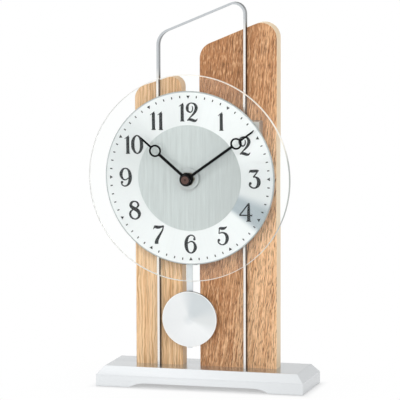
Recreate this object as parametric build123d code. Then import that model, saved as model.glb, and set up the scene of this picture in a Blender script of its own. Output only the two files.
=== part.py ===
from build123d import *
import os
from math import acos, cos, pi, radians, sin, tan

# A desk pendulum clock. Two veneered boards and a bent metal strip stand on a low metal plinth.
# A shallow box on the boards carries the dial, a larger glass disc and a quartz movement, whose
# hanger swings the pendulum in front of the slot between the boards.
# Sizes are in mm. X runs right, Y to the back and Z up, from the middle of the plinth's foot.

# Plinth and pads
BASE_W, BASE_D = 190.0, 66.0
BASE_TOP = 18.0
BASE_RIDGE = 10.5
BASE_BEVEL = 6.5
BASE_ROUND = 0.5
ARCH_HALF = 64.0
ARCH_TOP = 4.4
ARCH_CURVE, ARCH_BULGE = 14.0, 0.55
PAD_R, PAD_T, PAD_PROUD = 5.0, 2.0, 0.5
PAD_INSET_X, PAD_INSET_Y = 15.0, 11.0

# Boards and strip, slanted at the top; the boards' front lies BOARD_SET before the plinth's middle
TOP_SLOPE, LEFT_SLOPE = 23.0, 18.8
BOARD_T, BOARD_SET = 14.4, 6.0
BOARD_ROUND = 0.5
LEFT_X0, LEFT_X1, LEFT_LOW = -65.0, -22.0, 265.5
LEFT_R_LOW, LEFT_R_HIGH = 12.5, 9.5
RIGHT_X0, RIGHT_X1, RIGHT_LOW = -5.7, 64.7, 303.1
RIGHT_R_LOW, RIGHT_R_HIGH = 15.0, 14.0
STRIP_GAP, STRIP_X1, STRIP_LOW = 2.7, 37.8, 314.8
STRIP_T, STRIP_D = 2.0, 6.0
STRIP_R_LOW, STRIP_R_HIGH = 15.5, 10.5
STRIP_SOCKET = 6.0

# Carrier box on the boards
CARRIER_X0, CARRIER_X1 = -55.5, 52.2
CARRIER_Z0, CARRIER_ROOM = 160.0, 13.5
CARRIER_D, CARRIER_WALL = 12.5, 2.0
CARRIER_ROUND = 0.5
CARRIER_BOSS_R, CARRIER_BOSS_INSET = 3.5, 4.8

# Clock face, from the back to the front
CLOCK_X, CLOCK_Z = -10.9, 188.3
DIAL_R, DIAL_T, DIAL_BEVEL = 77.2, 2.0, 0.4
DISC_R, DISC_T = 47.0, 0.4
GLASS_R, GLASS_T, GLASS_BEVEL, GLASS_GAP = 91.9, 4.0, 0.5, 0.2
WASHER_R, WASHER_T = 9.5, 0.8
NUT_ACROSS, NUT_T = 11.0, 2.6
BUSH_R, BUSH_PROUD = 4.0, 0.5

# Hands and hub
HAND_T, HAND_GAP, HANDS_APART = 0.7, 1.4, 2.0
HAND_HUB_R = 5.9
HAND_STROKE = 1.6
HOUR_TIP, HOUR_RING, HOUR_RING_R, HOUR_W, HOUR_ANGLE = 56.5, 37.9, 5.5, 2.5, 310.2
MINUTE_TIP, MINUTE_RING, MINUTE_RING_R, MINUTE_W, MINUTE_ANGLE = 75.8, 56.4, 5.2, 2.4, 54.0
HAND_TIP_W, HAND_END_W = 1.8, 1.6
HUB_R, HUB_T, HUB_ROUND, HUB_SOCKET = 4.6, 3.4, 0.8, 1.0
HUB_DIMPLE_R, HUB_DIMPLE_T = 1.7, 0.5

# Movement case and cover, about the clock's axis
CASE_LOW, CASE_HIGH = -50.0, 38.0
CASE_WALL, CASE_ROOM, COVER_T = 1.5, 15.0, 1.5
CASE_BOSS_R, CASE_BOSS_INSET = 2.2, 3.2
WINDOW_GAP = 0.7

# Gear train
PRESSURE = radians(25)
TOOTH_TIP, TOOTH_ROOT, TOOTH_PLAY = 0.8, 1.05, 0.05
MOTION_M, TRAIN_M, ROTOR_M = 0.4, 0.25, 0.2
CANNON_TEETH, MOTION_WHEEL_TEETH, MOTION_PINION_TEETH = 15, 45, 12
HOUR_WHEEL_TEETH, SETTING_TEETH = 48, 15
CENTRE_TEETH, THIRD_TEETH, SECOND_TEETH, INTERMEDIATE_TEETH, PINION_TEETH = 80, 75, 50, 60, 10
LAYER_FIRST, LAYER_STEP, WHEEL_T = 0.5, 2.05, 1.1
PINION_LAP = 0.3
ARBOR_R, MINUTE_R, MINUTE_REAR_R, PIPE_R = 0.75, 1.5, 1.0, 2.5
PIVOT_DEPTH, PIVOT_FLOAT = 1.0, 0.1
CENTRE_HUB_R = 2.0
MOTION_TURN, SETTING_TURN = radians(-30), radians(75)
THIRD_TURN, SECOND_TURN, INTERMEDIATE_TURN, ROTOR_TURN = [radians(a) for a in (150, 230, 280, -20)]
KNOB_R, KNOB_T, KNOB_GAP, KNOB_GRIPS, KNOB_GRIP_R = 6.0, 3.2, 0.5, 18, 0.6

# Stepping motor, board and battery
MAGNET_R, MAGNET_T = 3.0, 2.0
STATOR_T, STATOR_RING, STATOR_BAR, STATOR_RETURN = 1.0, 2.1, 3.0, 2.0
STATOR_GAP, STATOR_POST_R = 3.0, 0.8
MOTOR_COIL_R, MOTOR_COIL_L, MOTOR_COIL_GAP = 3.0, 18.5, 1.0
PCB_W, PCB_H, PCB_T, PCB_STAND = 15.5, 20.0, 1.0, 4.0
PCB_GAP, PCB_RISE, PCB_POST_R, PCB_POST_INSET = 1.0, 6.5, 1.2, 3.0
CHIP_SIZE, CHIP_T = 6.0, 1.0
CRYSTAL_R, CRYSTAL_L = 1.5, 6.0
CELL_R, CELL_L, CELL_NUB_R, CELL_NUB_L = 7.15, 50.5, 2.6, 1.0
CONTACT_T, CONTACT_W, CONTACT_NUB_R, CONTACT_RISE = 0.4, 9.0, 2.2, 0.85
SHELF_T = 1.2

# Pendulum
PIVOT_DROP, PIVOT_SIDE = 22.5, -2.2
PIN_R, PIVOT_HUB_R, PIVOT_HUB_PROUD = 1.0, 3.0, 1.0
HANGER_T, HANGER_SET, HANGER_W, HANGER_FOOT_W, HANGER_FOOT_H = 2.0, 2.5, 9.0, 13.8, 9.0
HANGER_END = 109.8
PEG_R, PEG_HEAD_R, PEG_RISE = 1.5, 2.3, 6.0
ROD_W, ROD_T, ROD_LAP, ROD_TAIL = 5.5, 0.8, 12.0, 1.0
BOB_Z, BOB_R, BOB_T, BOB_CROWN = 61.1, 25.0, 3.8, 1.3
BOB_ROUND = 0.4
CLIP_W, CLIP_H, CLIP_T = 14.0, 12.0, 1.0
SWING_MAGNET_R, SWING_MAGNET_T, SWING_COIL_R, SWING_COIL_T = 4.0, 1.5, 6.5, 5.0
SWING_DROP, SWING_GAP, SWING_CORE_R, SWING_FLANGE_R = 42.0, 0.9, 2.2, 3.2
SLOT_HALF = 11.0

# Screws
BOARD_SCREW_R, BOARD_SCREW_HEAD_R, BOARD_SCREW_HEAD_T, BOARD_SCREW_L = 2.0, 4.0, 3.0, 38.0
BOARD_SCREW_OUTER, BOARD_SCREW_INNER = 18.0, 9.0
BOARD_SCREW_DEEP, BOARD_SCREW_POINT, BOARD_SCREW_TIP_R = 9.0, 4.0, 0.3
CARRIER_SCREW_R, CARRIER_SCREW_HEAD_R, CARRIER_SCREW_HEAD_T = 1.75, 3.5, 2.0
CARRIER_SCREW_L = 20.0
CASE_SCREW_R, CASE_SCREW_HEAD_R, CASE_SCREW_HEAD_T, CASE_SCREW_L = 0.95, 1.9, 1.1, 7.0

# Clearances, each on a radius or on one side
RUNNING = 0.06
SNUG = 0.02
EASY = 0.2
LOOSE = 0.3

# Places worked out from the sizes above: the case round its battery, the strip beside the case
CASE_HALF = CELL_L / 2 + CONTACT_RISE + CONTACT_T + CASE_WALL
CASE_SIDE = CASE_HALF - CASE_WALL
STRIP_X0 = CLOCK_X - CASE_HALF - STRIP_GAP - STRIP_T
CARRIER_Z1 = CLOCK_Z + CASE_HIGH + CARRIER_ROOM
STATOR_RIGHT = CASE_SIDE - STATOR_GAP
MOTOR_COIL_X1 = STATOR_RIGHT - STATOR_BAR - MOTOR_COIL_GAP
MOTOR_COIL_X0 = MOTOR_COIL_X1 - MOTOR_COIL_L
PCB_X1 = CASE_SIDE - PCB_GAP
PCB_X0 = PCB_X1 - PCB_W
PCB_Z0 = CASE_LOW + CASE_WALL + PCB_RISE
PCB_Z1 = PCB_Z0 + PCB_H

# Planes worked out from the sizes above, from the back to the front
BOARD_FRONT, BOARD_BACK = -BOARD_SET, BOARD_T - BOARD_SET
BASE_FOOT = PAD_PROUD
CARRIER_FRONT = BOARD_FRONT - CARRIER_D
CASE_FRONT = CARRIER_FRONT + CARRIER_WALL
CASE_IN = CASE_FRONT + CASE_WALL
COVER_IN = CASE_IN + CASE_ROOM
COVER_BACK = COVER_IN + COVER_T
KNOB_FRONT = COVER_BACK + KNOB_GAP
DIAL_FRONT = CARRIER_FRONT - DIAL_T
DISC_FRONT = DIAL_FRONT - DISC_T
GLASS_BACK = DISC_FRONT - GLASS_GAP
GLASS_FRONT = GLASS_BACK - GLASS_T
WASHER_FRONT = GLASS_FRONT - WASHER_T
NUT_FRONT = WASHER_FRONT - NUT_T
BUSH_END = NUT_FRONT - BUSH_PROUD
HOUR_BACK = BUSH_END - HAND_GAP
HOUR_FRONT = HOUR_BACK - HAND_T
MINUTE_BACK = HOUR_FRONT - HANDS_APART
MINUTE_FRONT = MINUTE_BACK - HAND_T
HUB_FRONT = MINUTE_FRONT - HUB_T
HUB_SEAT = MINUTE_FRONT - HUB_SOCKET
STRIP_FRONT = BOARD_FRONT - STRIP_D
HANGER_FRONT = CASE_IN + HANGER_SET
HANGER_BACK = HANGER_FRONT + HANGER_T
ROD_FRONT = HANGER_FRONT - ROD_T
BOB_FRONT = ROD_FRONT - BOB_T
PENDULUM_X, PIVOT_Z = CLOCK_X + PIVOT_SIDE, CLOCK_Z - PIVOT_DROP
SCREW_SEAT = BASE_TOP - BOARD_SCREW_DEEP

# Where the model's origin lies: under the middle of its outline
MIDDLE_X = ((CLOCK_X - GLASS_R) + BASE_W / 2) / 2
MIDDLE_Y = (HUB_FRONT + BASE_D / 2) / 2
ORIGIN = Pos(-MIDDLE_X, -MIDDLE_Y, 0)
CLOCK = Pos(CLOCK_X, 0, CLOCK_Z)


def slab(x0, x1, y0, y1, z0, z1):
    """A block between two corners."""
    middle = Pos((x0 + x1) / 2, (y0 + y1) / 2, (z0 + z1) / 2)
    return middle * Box(x1 - x0, y1 - y0, z1 - z0)


def plate(outline, front, back):
    """An outline drawn as seen from the front, X right and Z up, as thick as front to back."""
    return extrude(Plane.XZ.offset(-back) * outline, back - front)


def disc(radius, front, back, at=(0, 0)):
    return plate(Pos(*at) * Circle(radius), front, back)


def span(x0, x1, z0, z1):
    """A rectangle between two corners, as seen from the front."""
    return Pos((x0 + x1) / 2, (z0 + z1) / 2) * Rectangle(x1 - x0, z1 - z0)


def lengthwise(radius, x0, x1, y, z):
    """A cylinder along X."""
    return Pos((x0 + x1) / 2, y, z) * Rot(0, 90, 0) * Cylinder(radius, x1 - x0)


def save(node, shape, place=Pos(0, 0, 0)):
    export_step(ORIGIN * place * shape, f"parts/{node}.step")


def step_from(point, angle, distance):
    return point[0] + distance * cos(angle), point[1] + distance * sin(angle)


# Gears

def half_tooth(radius, module, teeth):
    """The angle from a tooth's middle to its involute flank at a radius."""
    pitch = module * teeth / 2
    base = pitch * cos(PRESSURE)
    flank = acos(min(1, base / radius))
    rolled = tan(PRESSURE) - PRESSURE - (tan(flank) - flank)
    return (pi * module / 2 - TOOTH_PLAY) / (2 * pitch) + rolled


def gear(module, teeth, phase):
    pitch = module * teeth / 2
    root, tip = pitch - TOOTH_ROOT * module, pitch + TOOTH_TIP * module
    radii = [root, (root + pitch) / 2, pitch, (pitch + tip) / 2, tip]
    rising = [(r, -half_tooth(r, module, teeth)) for r in radii]
    profile = rising + [(r, -a) for r, a in reversed(rising)]
    points = []
    for tooth in range(teeth):
        middle = phase + 2 * pi * tooth / teeth
        points += [(r * cos(middle + a), r * sin(middle + a)) for r, a in profile]
    return Polygon(*points, align=None)


def meshed(teeth_a, phase_a, teeth_b, towards_b):
    """The phase that sets a gap of wheel b on the tooth of wheel a, in the direction given."""
    passed = (towards_b - phase_a) * teeth_a / (2 * pi)
    return towards_b + pi - (2 * pi / teeth_b) * (0.5 - passed)


def reach(module, teeth_a, teeth_b):
    return module * (teeth_a + teeth_b) / 2


def layer(number):
    front = CASE_IN + LAYER_FIRST + LAYER_STEP * number
    return front, front + WHEEL_T


AXIS = (0.0, 0.0)
MOTION_AT = step_from(AXIS, MOTION_TURN, reach(MOTION_M, CANNON_TEETH, MOTION_WHEEL_TEETH))
SETTING_AT = step_from(MOTION_AT, SETTING_TURN, reach(MOTION_M, MOTION_WHEEL_TEETH, SETTING_TEETH))
THIRD_AT = step_from(AXIS, THIRD_TURN, reach(TRAIN_M, CENTRE_TEETH, PINION_TEETH))
SECOND_AT = step_from(THIRD_AT, SECOND_TURN, reach(TRAIN_M, THIRD_TEETH, PINION_TEETH))
INTERMEDIATE_AT = step_from(SECOND_AT, INTERMEDIATE_TURN, reach(TRAIN_M, SECOND_TEETH, PINION_TEETH))
ROTOR_AT = step_from(INTERMEDIATE_AT, ROTOR_TURN, reach(ROTOR_M, INTERMEDIATE_TEETH, PINION_TEETH))
PIVOT_AT = (PIVOT_SIDE, -PIVOT_DROP)
SWING_AT = (PIVOT_SIDE, -SWING_DROP)
ARBORS = [MOTION_AT, THIRD_AT, SECOND_AT, INTERMEDIATE_AT, ROTOR_AT]

HOUR_LAYER, CANNON_LAYER, CENTRE_LAYER, THIRD_LAYER, SECOND_LAYER, INTERMEDIATE_LAYER = range(6)
MOTOR_Y = sum(layer(THIRD_LAYER)) / 2
PIVOT_REACH = PIVOT_DEPTH - PIVOT_FLOAT
PIVOT_FRONT, PIVOT_REAR = CASE_IN - PIVOT_REACH, COVER_IN + PIVOT_REACH


def arbor(at, radius=ARBOR_R):
    return disc(radius, PIVOT_FRONT, PIVOT_REAR, at)


def wheel_with_pinion(at, module, teeth, number, pinion_module, pinion_teeth, pinion_phase):
    """A moulded wheel with its pinion in front of it, on one arbor."""
    front, back = layer(number)
    pinion_front = layer(number - 1)[0] - PINION_LAP
    wheel = plate(Pos(*at) * gear(module, teeth, 0), front, back)
    pinion = plate(Pos(*at) * gear(pinion_module, pinion_teeth, pinion_phase), pinion_front, front)
    return arbor(at) + wheel + pinion


# Plinth, boards and strip

def pad_places():
    x, y = BASE_W / 2 - PAD_INSET_X, BASE_D / 2 - PAD_INSET_Y
    return [(sx * x, sy * y) for sx in (-1, 1) for sy in (-1, 1)]


def board_screw_places():
    left = [LEFT_X0 + BOARD_SCREW_OUTER, LEFT_X1 - BOARD_SCREW_INNER]
    return left + [RIGHT_X0 + BOARD_SCREW_INNER, RIGHT_X1 - BOARD_SCREW_OUTER]


def strip_legs():
    return [(STRIP_X0, STRIP_X0 + STRIP_T), (STRIP_X1 - STRIP_T, STRIP_X1)]


def arch_cut():
    """The shallow arch under the plinth: a flat top with a rounded run-out at each end."""
    flat = ARCH_HALF - ARCH_CURVE
    rise = ARCH_TOP - BASE_FOOT
    middle = (flat + ARCH_CURVE * ARCH_BULGE, ARCH_TOP - rise * ARCH_BULGE ** 2)
    right = ThreePointArc((flat, ARCH_TOP), middle, (ARCH_HALF, BASE_FOOT))
    left = ThreePointArc((-ARCH_HALF, BASE_FOOT), (-middle[0], middle[1]), (-flat, ARCH_TOP))
    lines = [left, Line((-flat, ARCH_TOP), (flat, ARCH_TOP)), right]
    lines.append(Line((ARCH_HALF, BASE_FOOT), (-ARCH_HALF, BASE_FOOT)))
    return plate(make_face(lines), -BASE_D, BASE_D)


def base_plinth():
    foot = Rectangle(BASE_W, BASE_D)
    top = Rectangle(BASE_W - 2 * BASE_BEVEL, BASE_D - 2 * BASE_BEVEL)
    body = extrude(Pos(0, 0, BASE_FOOT) * foot, BASE_RIDGE - BASE_FOOT)
    body += loft([Pos(0, 0, BASE_RIDGE) * foot, Pos(0, 0, BASE_TOP) * top])
    outer = [e for e in body.edges() if e.center().Z > BASE_FOOT + 0.1]
    body = fillet(outer, BASE_ROUND)
    body -= arch_cut()
    for x, y in pad_places():
        body -= Pos(x, y, BASE_FOOT) * Cylinder(PAD_R + LOOSE, 2 * (PAD_T - PAD_PROUD))
    for x in board_screw_places():
        body -= Pos(x, 0, 0) * Cylinder(BOARD_SCREW_R + EASY, 4 * BASE_TOP)
        body -= Pos(x, 0, 0) * Cylinder(BOARD_SCREW_HEAD_R + LOOSE, 2 * SCREW_SEAT)
    for x0, x1 in strip_legs():
        body -= slab(x0 - SNUG, x1 + SNUG, STRIP_FRONT - SNUG, BOARD_FRONT + SNUG,
                     BASE_TOP - STRIP_SOCKET, 2 * BASE_TOP)
    return body


def foot_pads():
    return Part() + [Pos(x, y, PAD_T / 2) * Cylinder(PAD_R, PAD_T) for x, y in pad_places()]


def sloped(x0, x1, foot, low, r_low, r_high, slope):
    """An upright outline with a slanted top and two rounded shoulders."""
    high = low + (x1 - x0) * tan(radians(slope))
    outline = Polygon((x0, foot), (x1, foot), (x1, high), (x0, low), align=None)
    corners = outline.vertices()
    outline = fillet([v for v in corners if v.Y > foot + 1 and abs(v.X - x0) < 0.01], r_low)
    corners = outline.vertices().sort_by(Axis.Y)
    return fillet([corners[-1]], r_high)


def window():
    """The opening behind the movement, cut into both boards."""
    half = CASE_HALF + WINDOW_GAP
    return slab(CLOCK_X - half, CLOCK_X + half, -BOARD_T, BOARD_T,
                CLOCK_Z + CASE_LOW - WINDOW_GAP, CLOCK_Z + CASE_HIGH + WINDOW_GAP)


def carrier_screw_places():
    inset = CARRIER_BOSS_INSET
    return [(x, z) for x in (CARRIER_X0 + inset, CARRIER_X1 - inset)
            for z in (CARRIER_Z0 + inset, CARRIER_Z1 - inset)]


def carrier_screw(at, room):
    """A countersunk screw from the back of a board, or its hole where room is left round it."""
    x, z = at
    shank = disc(CARRIER_SCREW_R + room, BOARD_BACK - CARRIER_SCREW_L - room, BOARD_BACK, at)
    head = Pos(x, BOARD_BACK - CARRIER_SCREW_HEAD_T / 2, z) * Rot(-90, 0, 0) * Cone(
        CARRIER_SCREW_R + room, CARRIER_SCREW_HEAD_R + room, CARRIER_SCREW_HEAD_T)
    return shank + head


def board(x0, x1, low, r_low, r_high, slope):
    body = plate(sloped(x0, x1, BASE_TOP, low, r_low, r_high, slope), BOARD_FRONT, BOARD_BACK)
    faces = body.faces().filter_by(Axis.Y)
    body = fillet([e for f in faces for e in f.edges() if e.center().Z > BASE_TOP + 1], BOARD_ROUND)
    body -= window()
    for at in carrier_screw_places():
        if x0 < at[0] < x1:
            body -= carrier_screw(at, SNUG)
    for x in board_screw_places():
        if x0 < x < x1:
            top = SCREW_SEAT + BOARD_SCREW_L + LOOSE
            body -= Pos(x, 0, 0) * Cylinder(BOARD_SCREW_R + SNUG, 2 * top)
    return body


def board_screws():
    """Wood screws up through the plinth, with pointed ends."""
    screws = []
    for x in board_screw_places():
        straight = BOARD_SCREW_L - BOARD_SCREW_POINT
        shank = Pos(x, 0, SCREW_SEAT + straight / 2) * Cylinder(BOARD_SCREW_R, straight)
        tip = Pos(x, 0, SCREW_SEAT + straight + BOARD_SCREW_POINT / 2) * Cone(
            BOARD_SCREW_R, BOARD_SCREW_TIP_R, BOARD_SCREW_POINT)
        head = Pos(x, 0, SCREW_SEAT - BOARD_SCREW_HEAD_T / 2) * Cylinder(
            BOARD_SCREW_HEAD_R, BOARD_SCREW_HEAD_T)
        screws.append(shank + tip + head)
    return Part() + screws


def metal_strip():
    foot = BASE_TOP - STRIP_SOCKET
    drop = STRIP_T / cos(radians(TOP_SLOPE)) - STRIP_T * tan(radians(TOP_SLOPE))
    outer = sloped(STRIP_X0, STRIP_X1, foot, STRIP_LOW, STRIP_R_LOW, STRIP_R_HIGH, TOP_SLOPE)
    inner = sloped(STRIP_X0 + STRIP_T, STRIP_X1 - STRIP_T, foot - STRIP_T, STRIP_LOW - drop,
                   STRIP_R_LOW - STRIP_T, STRIP_R_HIGH - STRIP_T, TOP_SLOPE)
    return plate(outer - inner, STRIP_FRONT, BOARD_FRONT)


# Carrier, dial and glass

def carrier_box():
    body = slab(CARRIER_X0, CARRIER_X1, CARRIER_FRONT, BOARD_FRONT, CARRIER_Z0, CARRIER_Z1)
    rim = [e for e in body.edges() if e.center().Y < BOARD_FRONT - CARRIER_ROUND]
    body = fillet(rim, CARRIER_ROUND)
    wall = CARRIER_WALL
    body -= slab(CARRIER_X0 + wall, CARRIER_X1 - wall, CASE_FRONT, BOARD_BACK,
                 CARRIER_Z0 + wall, CARRIER_Z1 - wall)
    for at in carrier_screw_places():
        body += disc(CARRIER_BOSS_R, CASE_FRONT, BOARD_FRONT, at)
        body -= carrier_screw(at, SNUG)
    for x0, x1 in strip_legs():
        body -= slab(x0 - LOOSE, x1 + LOOSE, STRIP_FRONT - LOOSE, BOARD_BACK,
                     CARRIER_Z0 - wall, CARRIER_Z1 + wall)
    half = CASE_HALF + LOOSE
    body -= slab(CLOCK_X - half, CLOCK_X + half, CASE_FRONT, BOARD_BACK,
                 CARRIER_Z0 - wall, CARRIER_Z0 + 2 * wall)
    return body - disc(BUSH_R + EASY, 2 * CARRIER_FRONT, BOARD_BACK, (CLOCK_X, CLOCK_Z))


def carrier_screws():
    return Part() + [carrier_screw(at, 0) for at in carrier_screw_places()]


def ring(outer, inner, front, back, bevel=0.0):
    body = disc(outer, front, back) - disc(inner, front, back)
    if bevel:
        body = chamfer(body.edges().filter_by(GeomType.CIRCLE).sort_by(SortBy.RADIUS)[-2:], bevel)
    return body


def bushing_nut():
    outline = RegularPolygon(NUT_ACROSS / 2, 6, major_radius=False) - Circle(BUSH_R + SNUG)
    return plate(outline, NUT_FRONT, WASHER_FRONT)


# Hands

def hand(tip, ring_at, ring_r, width, hole, angle, front):
    """A thin hand with a ring along it, a round hub and a tapered point."""
    half, neck, end = width / 2, HAND_TIP_W / 2, HAND_END_W / 2
    bar = span(-half, half, 0, ring_at)
    bar += Polygon((-neck, ring_at), (neck, ring_at), (end, tip - HAND_END_W), (0, tip),
                   (-end, tip - HAND_END_W), align=None)
    eye = Pos(0, ring_at) * Circle(ring_r)
    outline = Circle(HAND_HUB_R) + bar + eye - Pos(0, ring_at) * Circle(ring_r - HAND_STROKE)
    return plate(Rot(0, 0, -angle) * (outline - Circle(hole)), front, front + HAND_T)


def hand_nut():
    body = disc(HUB_R, HUB_FRONT, MINUTE_FRONT)
    body = fillet(body.edges().sort_by(Axis.Y)[0], HUB_ROUND)
    body -= disc(HUB_DIMPLE_R, HUB_FRONT, HUB_FRONT + HUB_DIMPLE_T)
    return body - disc(MINUTE_R + SNUG, HUB_SEAT - SNUG, MINUTE_FRONT)


# Movement case and cover

def case_screw_places():
    x = CASE_HALF - CASE_BOSS_INSET
    low, high = CASE_LOW + CASE_BOSS_INSET, cell_shelf()[0] - (CASE_BOSS_INSET - CASE_WALL)
    return [(sx * x, z) for sx in (-1, 1) for z in (low, high)]


CELL_AT = CASE_HIGH - CASE_WALL - CELL_R - LOOSE
CELL_Y = CASE_IN + CELL_R + LOOSE


def cell_shelf():
    """The wall under the battery, as its lower and upper height."""
    top = CELL_AT - CELL_R - LOOSE
    return top - SHELF_T, top


def movement_case():
    body = plate(span(-CASE_HALF, CASE_HALF, CASE_LOW, CASE_HIGH), CASE_FRONT, COVER_IN)
    room = span(-CASE_SIDE, CASE_SIDE, CASE_LOW + CASE_WALL, CASE_HIGH - CASE_WALL)
    body -= plate(room, CASE_IN, COVER_IN)
    body += plate(span(-CASE_SIDE, CASE_SIDE, *cell_shelf()), CASE_IN, COVER_IN)
    for at in case_screw_places():
        body += disc(CASE_BOSS_R, CASE_IN, COVER_IN, at)
        body -= disc(CASE_SCREW_R + SNUG, COVER_IN - CASE_SCREW_L, COVER_IN, at)
    body += disc(BUSH_R, BUSH_END, CASE_FRONT) - disc(PIPE_R + RUNNING, BUSH_END, CASE_FRONT)
    body -= disc(PIPE_R + RUNNING, CASE_FRONT, CASE_IN)
    for at in ARBORS:
        body -= disc(ARBOR_R + RUNNING, CASE_IN - PIVOT_DEPTH, CASE_IN, at)
    body -= disc(MINUTE_REAR_R + RUNNING, CASE_IN - PIVOT_DEPTH, CASE_IN, SETTING_AT)
    body -= disc(PIN_R + SNUG, CASE_IN - PIVOT_DEPTH, CASE_IN, PIVOT_AT)
    return body - slab(PIVOT_SIDE - SLOT_HALF, PIVOT_SIDE + SLOT_HALF, CASE_IN, HANGER_BACK + HANGER_SET,
                       CASE_LOW - CASE_WALL, CASE_LOW + 2 * CASE_WALL)


def pcb_posts():
    inset = PCB_POST_INSET
    return [(PCB_X0 + inset, PCB_Z1 - inset), (PCB_X1 - inset, PCB_Z0 + inset)]


def stator_posts():
    below = MAGNET_R + LOOSE + STATOR_RING / 2
    return [(STATOR_RIGHT - STATOR_BAR / 2, ROTOR_AT[1]), (ROTOR_AT[0], ROTOR_AT[1] - below)]


def movement_cover():
    body = plate(span(-CASE_HALF, CASE_HALF, CASE_LOW, CASE_HIGH), COVER_IN, COVER_BACK)
    side = CELL_L / 2 + LOOSE
    body -= plate(span(-side, side, cell_shelf()[1], CELL_AT + CELL_R + LOOSE), COVER_IN, COVER_BACK)
    for at in pcb_posts():
        body += disc(PCB_POST_R, COVER_IN - PCB_STAND, COVER_IN, at)
    for at in stator_posts():
        body += disc(STATOR_POST_R, MOTOR_Y + STATOR_T / 2, COVER_IN, at)
    body += disc(SWING_CORE_R, SWING_COIL_FRONT, COVER_IN, SWING_AT)
    body += disc(SWING_FLANGE_R, SWING_COIL_BACK, COVER_IN, SWING_AT)
    body += disc(PIVOT_HUB_R, PIVOT_BOSS, COVER_IN, PIVOT_AT)
    body -= disc(PIN_R + SNUG, PIVOT_BOSS, PIVOT_REAR + SNUG, PIVOT_AT)
    for at in ARBORS:
        body -= disc(ARBOR_R + RUNNING, COVER_IN, COVER_IN + PIVOT_DEPTH, at)
    body -= disc(MINUTE_REAR_R + RUNNING, COVER_IN, COVER_IN + PIVOT_DEPTH)
    body -= disc(MINUTE_REAR_R + RUNNING, COVER_IN, COVER_BACK, SETTING_AT)
    for at in case_screw_places():
        body -= disc(CASE_SCREW_R + EASY, COVER_IN, COVER_BACK, at)
    return body


def movement_screws():
    screws = []
    for at in case_screw_places():
        shank = disc(CASE_SCREW_R, COVER_IN - CASE_SCREW_L + LOOSE, COVER_BACK, at)
        screws.append(shank + disc(CASE_SCREW_HEAD_R, COVER_BACK, COVER_BACK + CASE_SCREW_HEAD_T, at))
    return Part() + screws


# Gear train

def minute_arbor():
    front, back = layer(CANNON_LAYER)
    body = disc(MINUTE_R, HUB_SEAT, back) + disc(MINUTE_REAR_R, back, PIVOT_REAR)
    return body + plate(gear(MOTION_M, CANNON_TEETH, 0), front, back)


def motion_wheel():
    phase = meshed(CANNON_TEETH, 0, MOTION_WHEEL_TEETH, MOTION_TURN)
    front, back = layer(CANNON_LAYER)
    pinion_front = layer(HOUR_LAYER)[0] - PINION_LAP
    wheel = plate(Pos(*MOTION_AT) * gear(MOTION_M, MOTION_WHEEL_TEETH, phase), front, back)
    pinion = plate(Pos(*MOTION_AT) * gear(MOTION_M, MOTION_PINION_TEETH, 0), pinion_front, front)
    return arbor(MOTION_AT) + wheel + pinion


def hour_wheel():
    phase = meshed(MOTION_PINION_TEETH, 0, HOUR_WHEEL_TEETH, MOTION_TURN + pi)
    front, back = layer(HOUR_LAYER)
    wheel = plate(gear(MOTION_M, HOUR_WHEEL_TEETH, phase), front, back)
    pipe = disc(PIPE_R, HOUR_FRONT, front)
    return wheel + pipe - disc(MINUTE_R + RUNNING, HOUR_FRONT, back)


def setting_arbor():
    wheel_phase = meshed(CANNON_TEETH, 0, MOTION_WHEEL_TEETH, MOTION_TURN)
    phase = meshed(MOTION_WHEEL_TEETH, wheel_phase, SETTING_TEETH, SETTING_TURN)
    front, back = layer(CANNON_LAYER)
    body = disc(MINUTE_REAR_R, PIVOT_FRONT, KNOB_FRONT + KNOB_T / 2, SETTING_AT)
    return body + plate(Pos(*SETTING_AT) * gear(MOTION_M, SETTING_TEETH, phase), front, back)


def setting_knob():
    """A gripped disc pressed on the end of its arbor."""
    grip = Circle(KNOB_R)
    for number in range(KNOB_GRIPS):
        grip -= Pos(*step_from(AXIS, 2 * pi * number / KNOB_GRIPS, KNOB_R)) * Circle(KNOB_GRIP_R)
    body = plate(Pos(*SETTING_AT) * grip, KNOB_FRONT, KNOB_FRONT + KNOB_T)
    return body - disc(MINUTE_REAR_R + SNUG, KNOB_FRONT, KNOB_FRONT + KNOB_T / 2 + SNUG, SETTING_AT)


def centre_wheel():
    front, back = layer(CENTRE_LAYER)
    body = plate(gear(TRAIN_M, CENTRE_TEETH, 0), front, back)
    body += disc(CENTRE_HUB_R, layer(CANNON_LAYER)[1] + LOOSE, front)
    return body - disc(MINUTE_REAR_R + RUNNING, CASE_IN, COVER_IN)


def third_wheel():
    phase = meshed(CENTRE_TEETH, 0, PINION_TEETH, THIRD_TURN)
    return wheel_with_pinion(THIRD_AT, TRAIN_M, THIRD_TEETH, THIRD_LAYER, TRAIN_M, PINION_TEETH, phase)


def second_wheel():
    phase = meshed(THIRD_TEETH, 0, PINION_TEETH, SECOND_TURN)
    return wheel_with_pinion(SECOND_AT, TRAIN_M, SECOND_TEETH, SECOND_LAYER, TRAIN_M, PINION_TEETH, phase)


def intermediate_wheel():
    phase = meshed(SECOND_TEETH, 0, PINION_TEETH, INTERMEDIATE_TURN)
    return wheel_with_pinion(INTERMEDIATE_AT, ROTOR_M, INTERMEDIATE_TEETH, INTERMEDIATE_LAYER,
                             TRAIN_M, PINION_TEETH, phase)


def rotor():
    phase = meshed(INTERMEDIATE_TEETH, 0, PINION_TEETH, ROTOR_TURN)
    front, back = layer(INTERMEDIATE_LAYER)
    teeth = Pos(*ROTOR_AT) * gear(ROTOR_M, PINION_TEETH, phase)
    pinion = plate(teeth, front - PINION_LAP, back + PINION_LAP)
    magnet = disc(MAGNET_R, MOTOR_Y - MAGNET_T / 2, MOTOR_Y + MAGNET_T / 2, ROTOR_AT)
    return arbor(ROTOR_AT) + pinion + magnet


# Motor, circuit and battery

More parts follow.
